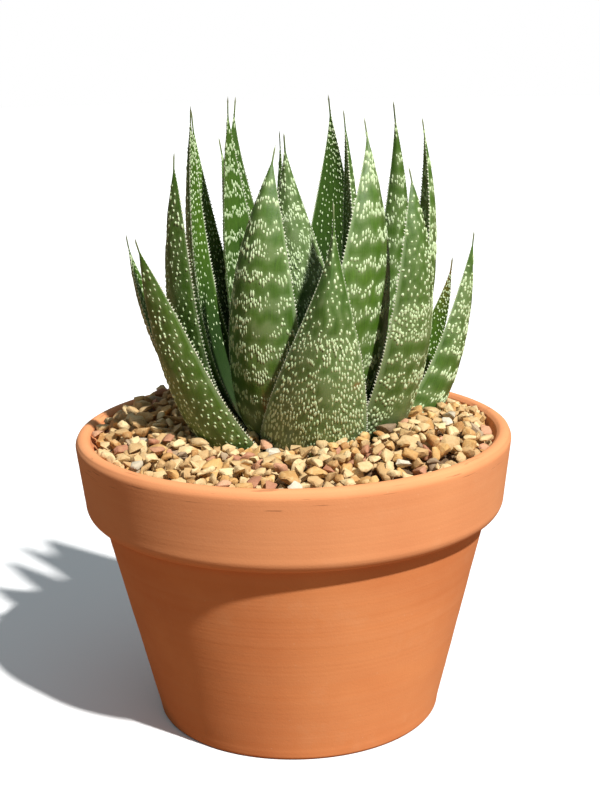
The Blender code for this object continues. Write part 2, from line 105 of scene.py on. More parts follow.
# Their form, as in the part
STEM_AXIS = (8.0, 8.0)
FIRST_ROOT_RADIUS = 10.0
ROOT_RADIUS_STEP = 0.22
FIRST_ROOT_HEIGHT = 82.0
ROOT_HEIGHT_STEP = 0.75
ELBOW_RISE = 8.0
TIP_PULL = 0.5
ROOT_WIDTH_SHARE = 0.2
SWELL_LENGTH = 0.26
TAPER_START = 0.16
TAPER_LENGTH = 0.80
THICKNESS_FULLNESS = 2.2
THICKNESS_TAPER = 0.8
AWN_HALF_WIDTH = 0.3
AWN_THICKNESS = 0.55
BACK_DEPTH = 0.68
BACK_FLATNESS = 0.75
ROOT_ROUNDNESS = 2.2
KEEL_SHARPENING = 0.8
KEEL_SHIFT = 0.18
CUP_DEPTH = 0.22
CUP_FLATTENING = 0.9
CUP_START = 0.05
CUP_GROWTH = 0.2
# The flesh's slight swells, their size across and along
SWELL_HEIGHT = 0.35
FACE_SWELL_SHARE = 0.4
SWELL_ACROSS = 5.0
SWELL_ALONG = 11.0
SWELL_EDGE_WIDTH = 6.0

# Teeth
TOOTH_PITCH = 1.15
TOOTH_REACH = 0.6
TOOTH_HALF_LENGTH = 0.36
TOOTH_HALF_THICKNESS = 0.16
TOOTH_SINK = 0.15
TOOTH_LEAN = 0.3
FULL_TOOTH_HALF_WIDTH = 4.0
FIRST_TOOTH = 0.16
LAST_TOOTH = 0.955
LOWEST_DETAIL = 97.0

# Raised spots. Their sizes are ranges of half lengths and half widths
LEAF_SEED = 100
BAND_PITCH = 7.6
BAND_SWAY = 1.1
BAND_WAVE = 5.2
BAND_ROW_PITCH = 1.7
THIRD_ROW_CHANCE = 0.6
DASH_CHANCE = 0.88
DASH_CHANCE_LOSS = 0.14
DASH_PITCH = 0.8
DASH_LENGTHS = (0.6, 1.3)
DASH_WIDTHS = (0.24, 0.4)
DOT_CHANCE = 0.8
DOT_PITCH = 2.0
DOT_LENGTHS = (0.35, 0.9)
DOT_WIDTHS = (0.26, 0.42)
STREAK_CHANCE = 0.9
STREAK_PITCHES = (0.75, 1.35)
STREAK_ROW_PITCH = 2.2
STREAK_LENGTHS = (0.6, 1.15)
STREAK_GROWTH = 0.6
STREAK_WIDTHS = (0.25, 0.38)
FACE_START = 0.35
FACE_END = 0.93
FACE_COLUMNS_OF_DOTS = (-0.8, -0.6, -0.4, -0.2, 0.04, 0.26, 0.48, 0.7)
FACE_DOT_PITCHES = (1.6, 3.0)
FACE_DOT_WIDTHS = (0.24, 0.38)
DOME_SIDES = 6
DOME_SINK = 0.12
DOME_SHOULDER = 0.72
DOME_SHOULDER_HEIGHT = 0.7
DOME_HEIGHT_SHARE = 0.36
DOME_LEAST_HEIGHT = 0.05
DOME_FULL_HALF_WIDTH = 0.4
HALO_STRENGTH = 0.8
HALO_MARGIN = 0.5
HALO_HALF_WIDTH = 0.7

# The leaf skin's soft, waxy look
SKIN_SETTINGS = {
    "Subsurface Weight": 0.06,
    "Subsurface Radius": (0.4, 1.0, 0.2),
    "Subsurface Scale": 0.002,
    "Coat Weight": 0.08,
    "Coat Roughness": 0.35,
}

Leaf = namedtuple("Leaf", "azimuth bulge lean side width thickness facing fullness taper tip")
LEAVES = (
    Leaf(-100, 36, -19, -4, 35.4, 9, -92, 2.3, 1.75, (14.0, -38.0, 183.0)),
    Leaf(125, 49, 12, 0, 24.0, 7, 125, 2.3, 1.1, (-29.0, 56.0, 160.0)),
    Leaf(0, 44, 5, -5, 20.0, 7, -34, 2.6, 1.1, (63.2, 10.0, 166.5)),
    Leaf(-138, 54, 19, 0, 31.0, 8, -146, 2.5, 1.0, (-48.5, -30.0, 172.0)),
    Leaf(79, 50, 9, 0, 24.5, 7, 79, 2.3, 1.1, (12.0, 62.0, 159.5)),
    Leaf(-42, 34, -15, -2, 28.0, 8, -36, 2.8, 0.9, (38.0, -26.0, 192.5)),
    Leaf(146, 48, 13, -4, 24.0, 6, 162, 2.2, 1.1, (-55.5, 8.0, 168.0)),
    Leaf(46, 44, 9, 0, 13.0, 6, 66, 2.3, 1.1, (58.5, 35.0, 153.5)),
    Leaf(-127, 32, -22, -1, 28.8, 8, -117, 2.8, 1.15, (-3.5, -21.0, 199.5)),
    Leaf(110, 42, 9, 6, 22.6, 6, 111, 2.2, 1.2, (-25.0, 49.0, 197.0)),
    Leaf(-177, 49, -3, -4, 26.0, 7, -157, 2.9, 0.9, (-36.0, -16.0, 197.5)),
    Leaf(-68, 28, -17, -2, 34.0, 8, -38, 3.2, 1.4, (24.5, -20.0, 207.5)),
    Leaf(64, 39, 3, 0, 27.0, 6, 62, 2.3, 1.1, (27.5, 46.0, 188.5)),
    Leaf(14, 34, -8, 3, 25.0, 6, 10, 2.4, 1.1, (45.5, 13.0, 205.0)),
    Leaf(138, 38, 5, -1, 16.5, 6, 149, 2.2, 1.1, (-33.5, 35.0, 207.5)),
    Leaf(-176, 39, -3, 0, 22.5, 6, 166, 2.5, 1.0, (-32.0, 11.0, 210.5)),
    Leaf(108, 31, 2, -8, 24.0, 5, 108, 2.0, 1.2, (-18.0, 39.0, 211.5)),
    Leaf(150, 26, -2, 0, 24.0, 6, 145, 2.3, 1.2, (-20.0, 22.0, 212.5)),
    Leaf(28, 26, -6, 2, 15.0, 5, -74, 2.4, 1.2, (36.0, 13.5, 210.5)),
    Leaf(-174, 19, 2, -1, 19.0, 5, -178, 2.1, 1.2, (-2.5, 19.0, 201.0)),
    Leaf(-72, 13, 0, -2, 24.0, 5, -87, 2.3, 1.3, (-1.0, 2.0, 201.5)),
    Leaf(88, 24, 1, 6, 24.0, 5, 66, 2.3, 1.3, (14.5, 30.0, 212.0)),
    Leaf(8, 15, -5, 2, 20.0, 5, 14, 2.2, 1.2, (19.0, 12.0, 208.0)),
)

# A patch of colour on a leaf: its place, its reach along and across, and its strength
Patch = namedtuple("Patch", "s u along across strength")

# How each leaf is marked: the shares of its length between which it has wavy bands of
# dashes, long streaks, and scattered dots, its tone from grey-green to fresh green, its
# brown patches, and how strongly shade is painted on the foot of its inner face
Marking = namedtuple(
    "Marking", "bands streaks dots tone blushes throat", defaults=(None, None, None, 0.5, (), 0.8)
)
BLEMISH = Patch(0.505, 0.82, 1.0, 0.9, 1.0)
OLD_BASE = Patch(0.30, -0.55, 13.0, 5.0, 0.55)
SEAM = Patch(0.30, 0.15, 6.0, 0.8, 0.8)
DRY_TIP = Patch(0.97, 0.0, 12.0, 6.0, 0.7)
DOTTED = Marking(dots=(0.2, 0.95), tone=0.4)
INNER_DOTTED = Marking(dots=(0.3, 0.95), tone=0.4)
INNER_BANDED = Marking(bands=(0.3, 0.97), tone=0.6)
MARKINGS = (
    Marking(streaks=(0.2, 0.66), dots=(0.60, 0.96), tone=0.35, blushes=(BLEMISH,)),
    DOTTED,
    Marking(bands=(0.2, 0.8), dots=(0.6, 0.95)),
    Marking(dots=(0.2, 0.95), tone=0.85, blushes=(OLD_BASE,)),
    DOTTED,
    Marking(bands=(0.2, 0.66), dots=(0.55, 0.95)),
    DOTTED,
    Marking(dots=(0.2, 0.95), tone=1.0, blushes=(DRY_TIP,), throat=0.0),
    Marking(bands=(0.2, 0.97), tone=0.65, blushes=(SEAM,)),
    INNER_BANDED,
    Marking(dots=(0.2, 0.95), tone=0.7),
    Marking(bands=(0.2, 0.97), tone=0.8),
    DOTTED,
    Marking(bands=(0.2, 0.97), tone=0.6),
    Marking(dots=(0.3, 0.95), tone=0.8),
    Marking(dots=(0.3, 0.95), tone=0.8),
    INNER_BANDED,
    Marking(bands=(0.3, 0.97)),
    INNER_BANDED,
    INNER_DOTTED,
    Marking(bands=(0.3, 0.9), dots=(0.3, 0.95), tone=0.35),
    INNER_DOTTED,
    INNER_DOTTED,
)

# The gravel
GRAVEL_EDGE_HEIGHT = 100.3
HEAP_SLOPE_WIDTH = 16.0
HEAP_HEIGHT = 5.2
HEAP_SWAY = 2.9
HEAP_BEARING = math.radians(-28)
STONE_SEED = 11
STONE_SHAPES = 36
STONE_CORNERS = (9, 13)
STONE_REACHES = (0.86, 1.0)
STONE_WIDTHS = (0.62, 0.9)
STONE_HEIGHTS = (0.45, 0.75)
STONE_FACET_ANGLE = 14
STONE_BEVEL = 0.08
STONE_SMOOTHING = 0.15
STONE_SHARP_ANGLE = 38
STONE_TILT = 0.65
STONE_HALF_LENGTH = 4.65
STONE_SPREAD = 0.26
STONE_HALF_LENGTHS = (2.4, 6.4)
STONE_TRIES = 5200
STONE_PLACES = 24
STONE_CELL = 0.6
STONE_SINK = 0.3
STONE_PROUD = 1.5
STONE_ROUGHNESS = 0.16
WALL_GAP = 0.4
LOOK_HEIGHT = 5.0
CEILING_REACH = 30.0
CEILING_GIVE = 0.3
LEVEL_PLANE = 1e-3
BED_DEPTH = 7.5
BED_RISE = 1.0
BED_BUMP_WIDTH = 4.0
BED_WALL_GAP = 0.5
BED_RINGS = 30
BED_SIDES = 72
STONE_KINDS = ("stone_tan", "stone_ochre", "stone_rose", "stone_grey", "stone_quartz")
STONE_SHARES = (0.62, 0.27, 0.05, 0.04, 0.02)

# The stage, in metres
FLOOR_RADIUS = 4.0
FLOOR_SIDES = 96


def new_object(data, materials=()):
    obj = bpy.data.objects.new(data.name, data)
    bpy.context.scene.collection.objects.link(obj)
    for finish in materials:
        data.materials.append(finish)
    return obj


def smooth_object(mesh, materials, sharp_angle):
    """A smoothly shaded object that keeps its edges above an angle in degrees."""
    mesh.shade_smooth()
    mesh.set_sharp_from_angle(angle=math.radians(sharp_angle))
    return new_object(mesh, materials)


def heading(degrees):
    """The level direction at an angle from the +X axis."""
    angle = math.radians(degrees)
    return np.array([math.cos(angle), math.sin(angle), 0.0])


def ring_pairs(count):
    """Each number below count with the next, the last with the first."""
    return [(i, (i + 1) % count) for i in range(count)]


def smooth_step(values):
    clipped = np.clip(values, 0.0, 1.0)
    return clipped * clipped * (3 - 2 * clipped)


class MeshParts:
    """Points and faces collected from several shapes, each with a material number."""

    def __init__(self):
        self.points = []
        self.faces = []
        self.kinds = []
        self.count = 0

    def add(self, points, faces, kind=0):
        self.points.append(np.asarray(points, float))
        self.faces += [tuple(self.count + i for i in face) for face in faces]
        self.kinds += [kind] * len(faces)
        self.count += len(points)

    def mesh(self, name):
        mesh = bpy.data.meshes.new(name)
        points = np.concatenate(self.points) * MM
        mesh.from_pydata(points.tolist(), [], self.faces)
        mesh.polygons.foreach_set("material_index", self.kinds)
        mesh.update()
        return mesh


# Materials


def node(tree, kind, inputs=None, **settings):
    """A shader node with its settings, and values or other nodes' sockets as inputs."""
    made = tree.nodes.new("ShaderNode" + kind)
    for name, value in settings.items():
        setattr(made, name, value)
    for name, value in (inputs or {}).items():
        if isinstance(value, bpy.types.NodeSocket):
            tree.links.new(value, made.inputs[name])
        else:
            made.inputs[name].default_value = value
    return made


def noise_of(tree, vector, scale, detail=3.0, roughness=0.55):
    values = {"Vector": vector, "Scale": scale, "Detail": detail, "Roughness": roughness}
    return node(tree, "TexNoise", values).outputs["Fac"]


def between(tree, value, low, high, start=0.0, end=1.0):
    """The value's place between low and high, as start to end, and held there outside."""
    values = {"Value": value, "From Min": low, "From Max": high, "To Min": start, "To Max": end}
    return node(tree, "MapRange", values).outputs["Result"]


def product(tree, first, second):
    return node(tree, "Math", {0: first, 1: second}, operation="MULTIPLY").outputs["Value"]


def total(tree, first, second):
    return node(tree, "Math", {0: first, 1: second}, operation="ADD").outputs["Value"]


def stored(tree, name):
    """A value kept on the mesh's points."""
    return node(tree, "Attribute", attribute_name=name).outputs["Fac"]


def cell_distance(tree, vector, scale):
    return node(tree, "TexVoronoi", {"Vector": vector, "Scale": scale}).outputs["Distance"]


def blend_of(tree, share, first, second):
    return node(tree, "Mix", {0: share, 6: first, 7: second}, data_type="RGBA").outputs[2]


def rgb(*channels):
    """A colour given as it looks on a screen, 0 to 255, as the shader needs it."""
    return (*[((channel / 255 + 0.055) / 1.055) ** 2.4 for channel in channels], 1.0)


def shader_of(name, roughness):
    """A new material, its node tree and its shader."""
    finish = bpy.data.materials.new(name)
    finish.use_nodes = True
    tree = finish.node_tree
    shader = tree.nodes["Principled BSDF"]
    shader.inputs["Roughness"].default_value = roughness
    return finish, tree, shader


def set_colour(tree, shader, colour):
    tree.links.new(colour, shader.inputs["Base Color"])


def set_bump(tree, shader, height, strength, distance):
    made = node(tree, "Bump", {"Height": height, "Strength": strength, "Distance": distance})
    tree.links.new(made.outputs["Normal"], shader.inputs["Normal"])


def object_place(tree):
    return node(tree, "TexCoord").outputs["Object"]


def stretched(tree, vector, scale):
    return node(tree, "Mapping", {"Vector": vector, "Scale": scale}).outputs["Vector"]


def collar_and_lip(tree, place, colour):
    """The clay's colour with the paler collar and the scuffs under the lip."""
    level = node(tree, "SeparateXYZ", {"Vector": place}).outputs["Z"]
    collar = between(tree, level, COLLAR_FOOT_HEIGHT * MM, (COLLAR_FOOT_HEIGHT + 3) * MM, 0, 0.34)
    colour = blend_of(tree, collar, colour, rgb(232, 166, 118))
    scuffs = noise_of(tree, stretched(tree, place, (70, 70, 1300)), 1.0, 2)
    under_lip = between(tree, level, (POT_HEIGHT - 9) * MM, (POT_HEIGHT - 6) * MM)
    scuffs = product(tree, under_lip, between(tree, scuffs, 0.66, 0.71, 0, 0.5))
    return blend_of(tree, scuffs, colour, rgb(140, 84, 50))


def clay_colour(tree, place):
    """Clouds, turning rings and bloom, then the collar, pale flecks and dark pits."""
    clouds = between(tree, noise_of(tree, place, 22, 4), 0.35, 0.65)
    colour = blend_of(tree, clouds, rgb(217, 130, 73), rgb(229, 146, 87))
    rings = noise_of(tree, stretched(tree, place, (3, 3, 260)), 1.0, 2)
    colour = blend_of(tree, between(tree, rings, 0.4, 0.7, 0, 0.2), colour, rgb(230, 156, 104))
    bloom = noise_of(tree, place, 60, 5, 0.7)
    colour = blend_of(tree, between(tree, bloom, 0.56, 0.75, 0, 0.2), colour, rgb(234, 172, 124))
    colour = collar_and_lip(tree, place, colour)
    flecks = between(tree, cell_distance(tree, place, 230), 0.03, 0.08, 0.2, 0)
    colour = blend_of(tree, flecks, colour, rgb(242, 196, 156))
    pits = between(tree, cell_distance(tree, place, 330), 0.02, 0.06, 0.3, 0)
    return blend_of(tree, pits, colour, rgb(150, 86, 50))


def clay_material():
    finish, tree, shader = shader_of("terracotta_clay", 0.82)
    place = object_place(tree)
    set_colour(tree, shader, clay_colour(tree, place))
    turning = noise_of(tree, stretched(tree, place, (2, 2, 700)), 1.0, 2)
    height = total(tree, noise_of(tree, place, 1400, 3, 0.7), turning)
    set_bump(tree, shader, height, 0.25, 0.0002)
    return finish


def leaf_coordinates(tree):
    """Sockets for the place on a leaf: u across, s along, and distances in centimetres."""
    place = node(tree, "Attribute", attribute_name="leaf_place").outputs["Vector"]
    split = node(tree, "SeparateXYZ", {"Vector": place})
    return split.outputs["X"], split.outputs["Y"], node(tree, "UVMap").outputs["UV"]


def flesh_colour(tree, place, lines):
    """The green of the flesh between its markings, with darker lines up the leaf."""
    grey = blend_of(tree, noise_of(tree, place, 120, 3), rgb(42, 76, 22), rgb(80, 114, 40))
    fresh = blend_of(tree, noise_of(tree, place, 90, 3), rgb(54, 94, 12), rgb(100, 138, 34))
    colour = blend_of(tree, stored(tree, "tone"), grey, fresh)
    return blend_of(tree, between(tree, lines, 0.35, 0.7, 0, 0.45), colour, rgb(34, 52, 18))


def leaf_colour(tree, place, u, s, lines):
    """The flesh with its pale bands and margins, its paler foot, painted shade on the foot of its
    inner face, its brown patches and its tip.
    """
    colour = flesh_colour(tree, place, lines)
    colour = blend_of(tree, product(tree, stored(tree, "band"), 0.45), colour, rgb(142, 160, 108))
    edge = node(tree, "Math", {0: u}, operation="ABSOLUTE").outputs["Value"]
    colour = blend_of(tree, between(tree, edge, 0.92, 0.99, 0, 0.5), colour, rgb(176, 196, 146))
    colour = blend_of(tree, between(tree, s, 0.34, 0.14, 0, 0.6), colour, rgb(118, 132, 96))
    # Painted shade: the inner face darkened towards its foot, where the leaves around it would
    # shade it
    throat = product(tree, stored(tree, "throat"), between(tree, s, 0.66, 0.4))
    colour = blend_of(tree, throat, colour, rgb(28, 48, 24))
    colour = blend_of(tree, stored(tree, "blush"), colour, rgb(138, 92, 48))
    return blend_of(tree, between(tree, s, 0.94, 0.99, 0, 0.7), colour, rgb(150, 148, 116))


def leaf_material():
    """Waxy skin over soft flesh, with fine lines up the leaf."""
    finish, tree, shader = shader_of("leaf_skin", 0.48)
    u, s, flat = leaf_coordinates(tree)
    place = object_place(tree)
    lines = noise_of(tree, stretched(tree, flat, (34, 1.2, 1)), 1.0, 3, 0.6)
    set_colour(tree, shader, leaf_colour(tree, place, u, s, lines))
    for name, value in SKIN_SETTINGS.items():
        shader.inputs[name].default_value = value
    height = total(tree, lines, noise_of(tree, place, 900, 2))
    set_bump(tree, shader, height, 0.22, 0.0003)
    return finish


def pale_material(name, low, high, roughness):
    """The horny white of the spots and teeth."""
    finish, tree, shader = shader_of(name, roughness)
    clouds = noise_of(tree, object_place(tree), 260, 3)
    set_colour(tree, shader, blend_of(tree, between(tree, clouds, 0.3, 0.7), low, high))
    set_bump(tree, shader, noise_of(tree, object_place(tree), 2600, 2), 0.2, 0.0001)
    return finish


def stone_material(name, dark, light, vein):
    finish, tree, shader = shader_of(name, 0.72)
    place = object_place(tree)
    colour = blend_of(tree, stored(tree, "shade"), dark, light)
    patches = noise_of(tree, place, 330, 4, 0.65)
    colour = blend_of(tree, between(tree, patches, 0.48, 0.68, 0, 0.6), colour, vein)
    grit = noise_of(tree, place, 1700, 3, 0.7)
    colour = blend_of(tree, between(tree, grit, 0.45, 0.7, 0, 0.4), colour, dark)
    set_colour(tree, shader, colour)
    height = total(tree, noise_of(tree, place, 600, 5, 0.65), grit)
    set_bump(tree, shader, height, 0.5, 0.0005)
    return finish


def stone_materials():
    """One material for each kind of stone: its dark and light shades, and its veins."""
    looks = (
        (rgb(190, 152, 100), rgb(236, 210, 158), rgb(196, 150, 94)),
        (rgb(176, 126, 70), rgb(222, 176, 108), rgb(234, 204, 150)),
        (rgb(172, 114, 84), rgb(216, 164, 126), rgb(196, 146, 100)),
        (rgb(138, 114, 88), rgb(190, 166, 132), rgb(160, 130, 98)),
        (rgb(190, 176, 150), rgb(222, 212, 190), rgb(206, 182, 148)),
    )
    return [stone_material(name, *look) for name, look in zip(STONE_KINDS, looks)]


def rough_material(name, roughness, pattern, dark, light, strength, distance):
    """Two shades in a noise pattern, which also raises the surface."""
    finish, tree, shader = shader_of(name, roughness)
    place = object_place(tree)
    scale, detail, fineness = pattern
    grain = noise_of(tree, stretched(tree, place, scale), 1.0, detail, fineness)
    set_colour(tree, shader, blend_of(tree, between(tree, grain, 0.35, 0.7), dark, light))
    set_bump(tree, shader, grain, strength, distance)
    return finish


def earth_material():
    clods = ((260, 260, 260), 6, 0.7)
    return rough_material("earth", 0.95, clods, rgb(34, 24, 18), rgb(84, 62, 44), 0.8, 0.001)


def bark_material():
    fibres = ((900, 900, 60), 4, 0.65)
    shades = (rgb(86, 66, 42), rgb(150, 124, 84))
    return rough_material("stem_fibre", 0.85, fibres, *shades, 0.6, 0.0006)


def bed_material():
    grit = ((500, 500, 500), 5, 0.7)
    shades = (rgb(70, 52, 36), rgb(140, 110, 76))
    return rough_material("gravel_bed_dust", 0.95, grit, *shades, 0.8, 0.001)


def floor_material():
    """Pale paint to the camera, and a warm ground in the light that it throws back."""
    finish, tree, shader = shader_of("floor_paint", 0.8)
    clouds = noise_of(tree, object_place(tree), 3, 3)
    colour = blend_of(tree, clouds, rgb(246, 245, 243), rgb(251, 250, 248))
    seen = node(tree, "LightPath").outputs["Is Camera Ray"]
    set_colour(tree, shader, blend_of(tree, seen, rgb(130, 97, 68), colour))
    return finish


# The pot


def arc(centre, radius, start, end, steps):
    """Points on an arc between two angles in degrees."""
    points = []
    for step in range(steps + 1):
        angle = math.radians(start + (end - start) * step / steps)
        points.append((centre[0] + radius * math.cos(angle), centre[1] + radius * math.sin(angle)))
    return points


def subdivided(profile, step):
    """The same profile with points added, so that none are further apart than step."""
    points = []
    for start, end in zip(profile, profile[1:] + profile[:1]):
        count = max(1, math.ceil(math.dist(start, end) / step))
        for i in range(count):
            share = i / count
            points.append(tuple(a + (b - a) * share for a, b in zip(start, end)))
    return points


def pot_profile():
    profile = [(DRAIN_RADIUS, 0.0)]
    profile += arc((FOOT_RADIUS - FOOT_CHAMFER, FOOT_CHAMFER), FOOT_CHAMFER, -90, -12, 5)
    profile.append((NECK_RADIUS, COLLAR_FOOT_HEIGHT))
    collar_centre = (COLLAR_FOOT_RADIUS - COLLAR_ROUNDING, COLLAR_FOOT_HEIGHT + COLLAR_ROUNDING)
    profile += arc(collar_centre, COLLAR_ROUNDING, -80, 0, 12)
    profile += arc((LIP_RADIUS - LIP_ROUNDING, POT_HEIGHT - LIP_ROUNDING), LIP_ROUNDING, 0, 90, 12)
    mouth_centre = (MOUTH_RADIUS + MOUTH_ROUNDING, POT_HEIGHT - MOUTH_ROUNDING)
    profile += arc(mouth_centre, MOUTH_ROUNDING, 110, 180, 8)
    profile += [*BORE_CORNERS, (FLOOR_EDGE_RADIUS, FLOOR_HEIGHT), (DRAIN_RADIUS, FLOOR_HEIGHT)]
    return subdivided(profile, POT_STEP)


def turning_marks(radius, height, angle):
    """How far a turning mark stands in from the true profile."""
    rings = noise.noise(Vector((math.cos(angle) * 0.4, math.sin(angle) * 0.4, height * 0.8)))
    soft = noise.noise(Vector((math.cos(angle) * 1.5, math.sin(angle) * 1.5, height * 0.06)))
    return TURNING_RELIEF * (rings - 1) + 2 * TURNING_RELIEF * (soft - 1)


def make_pot(finish):
    profile = pot_profile()
    points = []
    for side in range(POT_SIDES):
        angle = math.tau * side / POT_SIDES
        for radius, height in profile:
            if radius > MARKS_FROM_RADIUS and MARKS_FROM_HEIGHT < height < MARKS_TO_HEIGHT:
                radius += turning_marks(radius, height, angle)
            points.append((radius * math.cos(angle), radius * math.sin(angle), height))
    rows = len(profile)
    faces = []
    for side, ahead in ring_pairs(POT_SIDES):
        here, there = side * rows, ahead * rows
        faces += [(here + i, there + i, there + j, here + j) for i, j in ring_pairs(rows)]
    parts = MeshParts()
    parts.add(points, faces)
    pot = smooth_object(parts.mesh("pot_clay"), [finish], POT_SHARP_ANGLE)
    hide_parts("pot")
    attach(pot, "root")


# The leaves


def spine(leaf, age):
    """Points on the leaf's middle line from root to tip, a cubic Bezier curve."""
    up = np.array([0.0, 0.0, 1.0])
    stem = np.array([*STEM_AXIS, 0.0])
    out = heading(leaf.azimuth)
    root_height = (FIRST_ROOT_HEIGHT + ROOT_HEIGHT_STEP * age) * up
    root = stem + (FIRST_ROOT_RADIUS - ROOT_RADIUS_STEP * age) * out + root_height
    elbow = stem + leaf.bulge * out + root_height + ELBOW_RISE * up
    tip = np.array(leaf.tip)
    lean = math.radians(leaf.lean)
    rise = math.sin(lean) * out + math.cos(lean) * up
    rise += math.sin(math.radians(leaf.side)) * heading(leaf.azimuth + 90)
    pull = TIP_PULL * np.linalg.norm(tip - elbow)
    shoulder = tip - pull * rise / np.linalg.norm(rise)
    t = np.linspace(0.0, 1.0, SPINE_STEPS)[:, None]
    return (
        (1 - t) ** 3 * root
        + 3 * (1 - t) ** 2 * t * elbow
        + 3 * (1 - t) * t**2 * shoulder
        + t**3 * tip
    )


def swell(shares, fullness, taper):
    """Share of the full width or thickness: narrow at the root, full, then pointed."""
    gone = np.clip((shares - TAPER_START) / TAPER_LENGTH, 0.0, 1.0)
    root = ROOT_WIDTH_SHARE + (1 - ROOT_WIDTH_SHARE) * smooth_step(shares / SWELL_LENGTH)
    return (1 - gone**fullness) ** taper * root


class LeafForm:
    """One leaf's surface, read at a share s of its length and at u, -1 to 1, across it."""

    def __init__(self, leaf, age):
        self.leaf = leaf
        self.curve = spine(leaf, age)
        steps = np.linalg.norm(np.diff(self.curve, axis=0), axis=1)
        self.lengths = np.concatenate([[0.0], np.cumsum(steps)])
        self.length = self.lengths[-1]

    def middle(self, s):
        wanted = np.clip(s, 0.0, 1.0) * self.length
        return np.stack([np.interp(wanted, self.lengths, self.curve[:, i]) for i in range(3)], -1)

    def half_width(self, s):
        half = self.leaf.width / 2 * swell(s, self.leaf.fullness, self.leaf.taper)
        return np.maximum(half, AWN_HALF_WIDTH)

    def points(self, s, u, on_face=False):
        s, u = np.asarray(s, float), np.asarray(u, float)
        held = np.clip(s, 0.0, 1.0)
        along = self.middle(held + SPINE_NUDGE) - self.middle(held - SPINE_NUDGE)
        along /= np.linalg.norm(along, axis=-1)[..., None]
        back = heading(self.leaf.facing)
        outward = back - (along @ back)[..., None] * along
        outward /= np.linalg.norm(outward, axis=-1)[..., None]
        across = np.cross(along, outward)
        half = self.half_width(s)
        thick = self.leaf.thickness * swell(s, THICKNESS_FULLNESS, THICKNESS_TAPER)
        thick = np.maximum(thick, AWN_THICKNESS)
        cupping = np.clip((s - CUP_START) / CUP_GROWTH, 0.0, 1.0)
        if on_face:
            depth = -(1 - BACK_DEPTH) * thick * (1 - u * u) * (1 - CUP_FLATTENING * cupping)
        else:
            ridge = np.clip(abs(u + KEEL_SHIFT * s * (1 - u * u)), 0.0, 1.0)
            power = ROOT_ROUNDNESS - KEEL_SHARPENING * s
            depth = BACK_DEPTH * thick * (1 - ridge**power) ** BACK_FLATNESS
        depth = depth - CUP_DEPTH * half * u * u * cupping
        return self.middle(s) + across * (half * u)[..., None] + outward * depth[..., None]

    def normals(self, s, u, on_face=False):
        ahead, behind = s + NORMAL_NUDGE, s - NORMAL_NUDGE
        along = self.points(ahead, u, on_face) - self.points(behind, u, on_face)
        right = self.points(s, np.clip(u + NORMAL_NUDGE_ACROSS, -1, 1), on_face)
        left = self.points(s, np.clip(u - NORMAL_NUDGE_ACROSS, -1, 1), on_face)
        outward = np.cross(right - left, along)
        outward /= np.linalg.norm(outward, axis=-1)[..., None] + 1e-9
        return -outward if on_face else outward


def band_places(span, form, draw):
    """Dashes (s, u, half length, half width) in wavy rows across the leaf."""
    dashes = []
    along = span[0] * form.length
    while along < span[1] * form.length:
        phase = draw.uniform(0, BAND_WAVE)
        rows = 3 if draw.random() < THIRD_ROW_CHANCE else 2
        for row in range(rows):
            half = float(form.half_width(along / form.length))
            across = -half + draw.uniform(0.3, 0.9)
            while across < half - 0.3:
                wave = abs(((across + phase) / BAND_WAVE) % 1.0 - 0.5) * 4 - 1
                middle = along + BAND_SWAY * wave + BAND_ROW_PITCH * row + draw.gauss(0, 0.35)
                if draw.random() < DASH_CHANCE - DASH_CHANCE_LOSS * row:
                    size = draw.uniform(*DASH_LENGTHS)
                    width = draw.uniform(*DASH_WIDTHS)
                    dashes.append((middle / form.length, across / half, size, width))
                across += DASH_PITCH * draw.uniform(0.75, 1.25)
        along += BAND_PITCH * draw.uniform(0.85, 1.15)
    return dashes


def dot_places(span, form, draw):
    """Scattered dots, in loose crossing rows."""
    dots = []
    along = span[0] * form.length
    row = 0
    while along < span[1] * form.length:
        half = float(form.half_width(along / form.length))
        across = -half + 0.5 + (row % 2) * DOT_PITCH / 2
        while across < half - 0.4:
            if draw.random() < DOT_CHANCE:
                u = (across + draw.gauss(0, 0.35)) / half
                s = (along + draw.gauss(0, 0.5)) / form.length
                dots.append((s, u, draw.uniform(*DOT_LENGTHS), draw.uniform(*DOT_WIDTHS)))
            across += DOT_PITCH * draw.uniform(0.8, 1.2)
        along += 0.8 * DOT_PITCH
        row += 1
    return dots


def streak_places(span, form, draw):
    """Long dashes that crowd towards the leaf's foot."""
    streaks = []
    along = span[0] * form.length
    while along < span[1] * form.length:
        s = along / form.length
        half = float(form.half_width(s))
        crowding = (span[1] - s) / (span[1] - span[0])
        across = -half + draw.uniform(0.3, 1.2)
        while across < half - 0.3:
            if draw.random() < STREAK_CHANCE:
                size = draw.uniform(*STREAK_LENGTHS) + STREAK_GROWTH * crowding * draw.random()
                place = (along + draw.gauss(0, 0.9)) / form.length
                streaks.append((place, across / half, size, draw.uniform(*STREAK_WIDTHS)))
            across += draw.uniform(*STREAK_PITCHES) - 0.2 * crowding
        along += STREAK_ROW_PITCH - 0.5 * crowding
    return streaks


def face_places(marking, form, draw):
    """Marks on the inner face: rows of dashes as on the back, or dots in lines up the leaf."""
    if marking.bands:
        spots = band_places(marking.bands, form, draw)
        return [spot for spot in spots if abs(spot[1]) < 0.9 and FACE_START < spot[0] < 0.95]
    dots = []
    for column in FACE_COLUMNS_OF_DOTS:
        s = FACE_START + 0.03 * draw.random()
        while s < FACE_END:
            if draw.random() < DOT_CHANCE:
                size = draw.uniform(*DOT_LENGTHS)
                dots.append((s, column + draw.gauss(0, 0.04), size, draw.uniform(*FACE_DOT_WIDTHS)))
            s += draw.uniform(*FACE_DOT_PITCHES) / form.length
    return dots


def spots_of(marking, form, draw):
    """Every spot on the leaf's back."""
    spots = []
    spans = (marking.bands, marking.streaks, marking.dots)
    for span, places in zip(spans, (band_places, streak_places, dot_places)):
        if span:
            spots += places(span, form, draw)
    return [spot for spot in spots if abs(spot[1]) < 0.96 and spot[0] < 0.965]


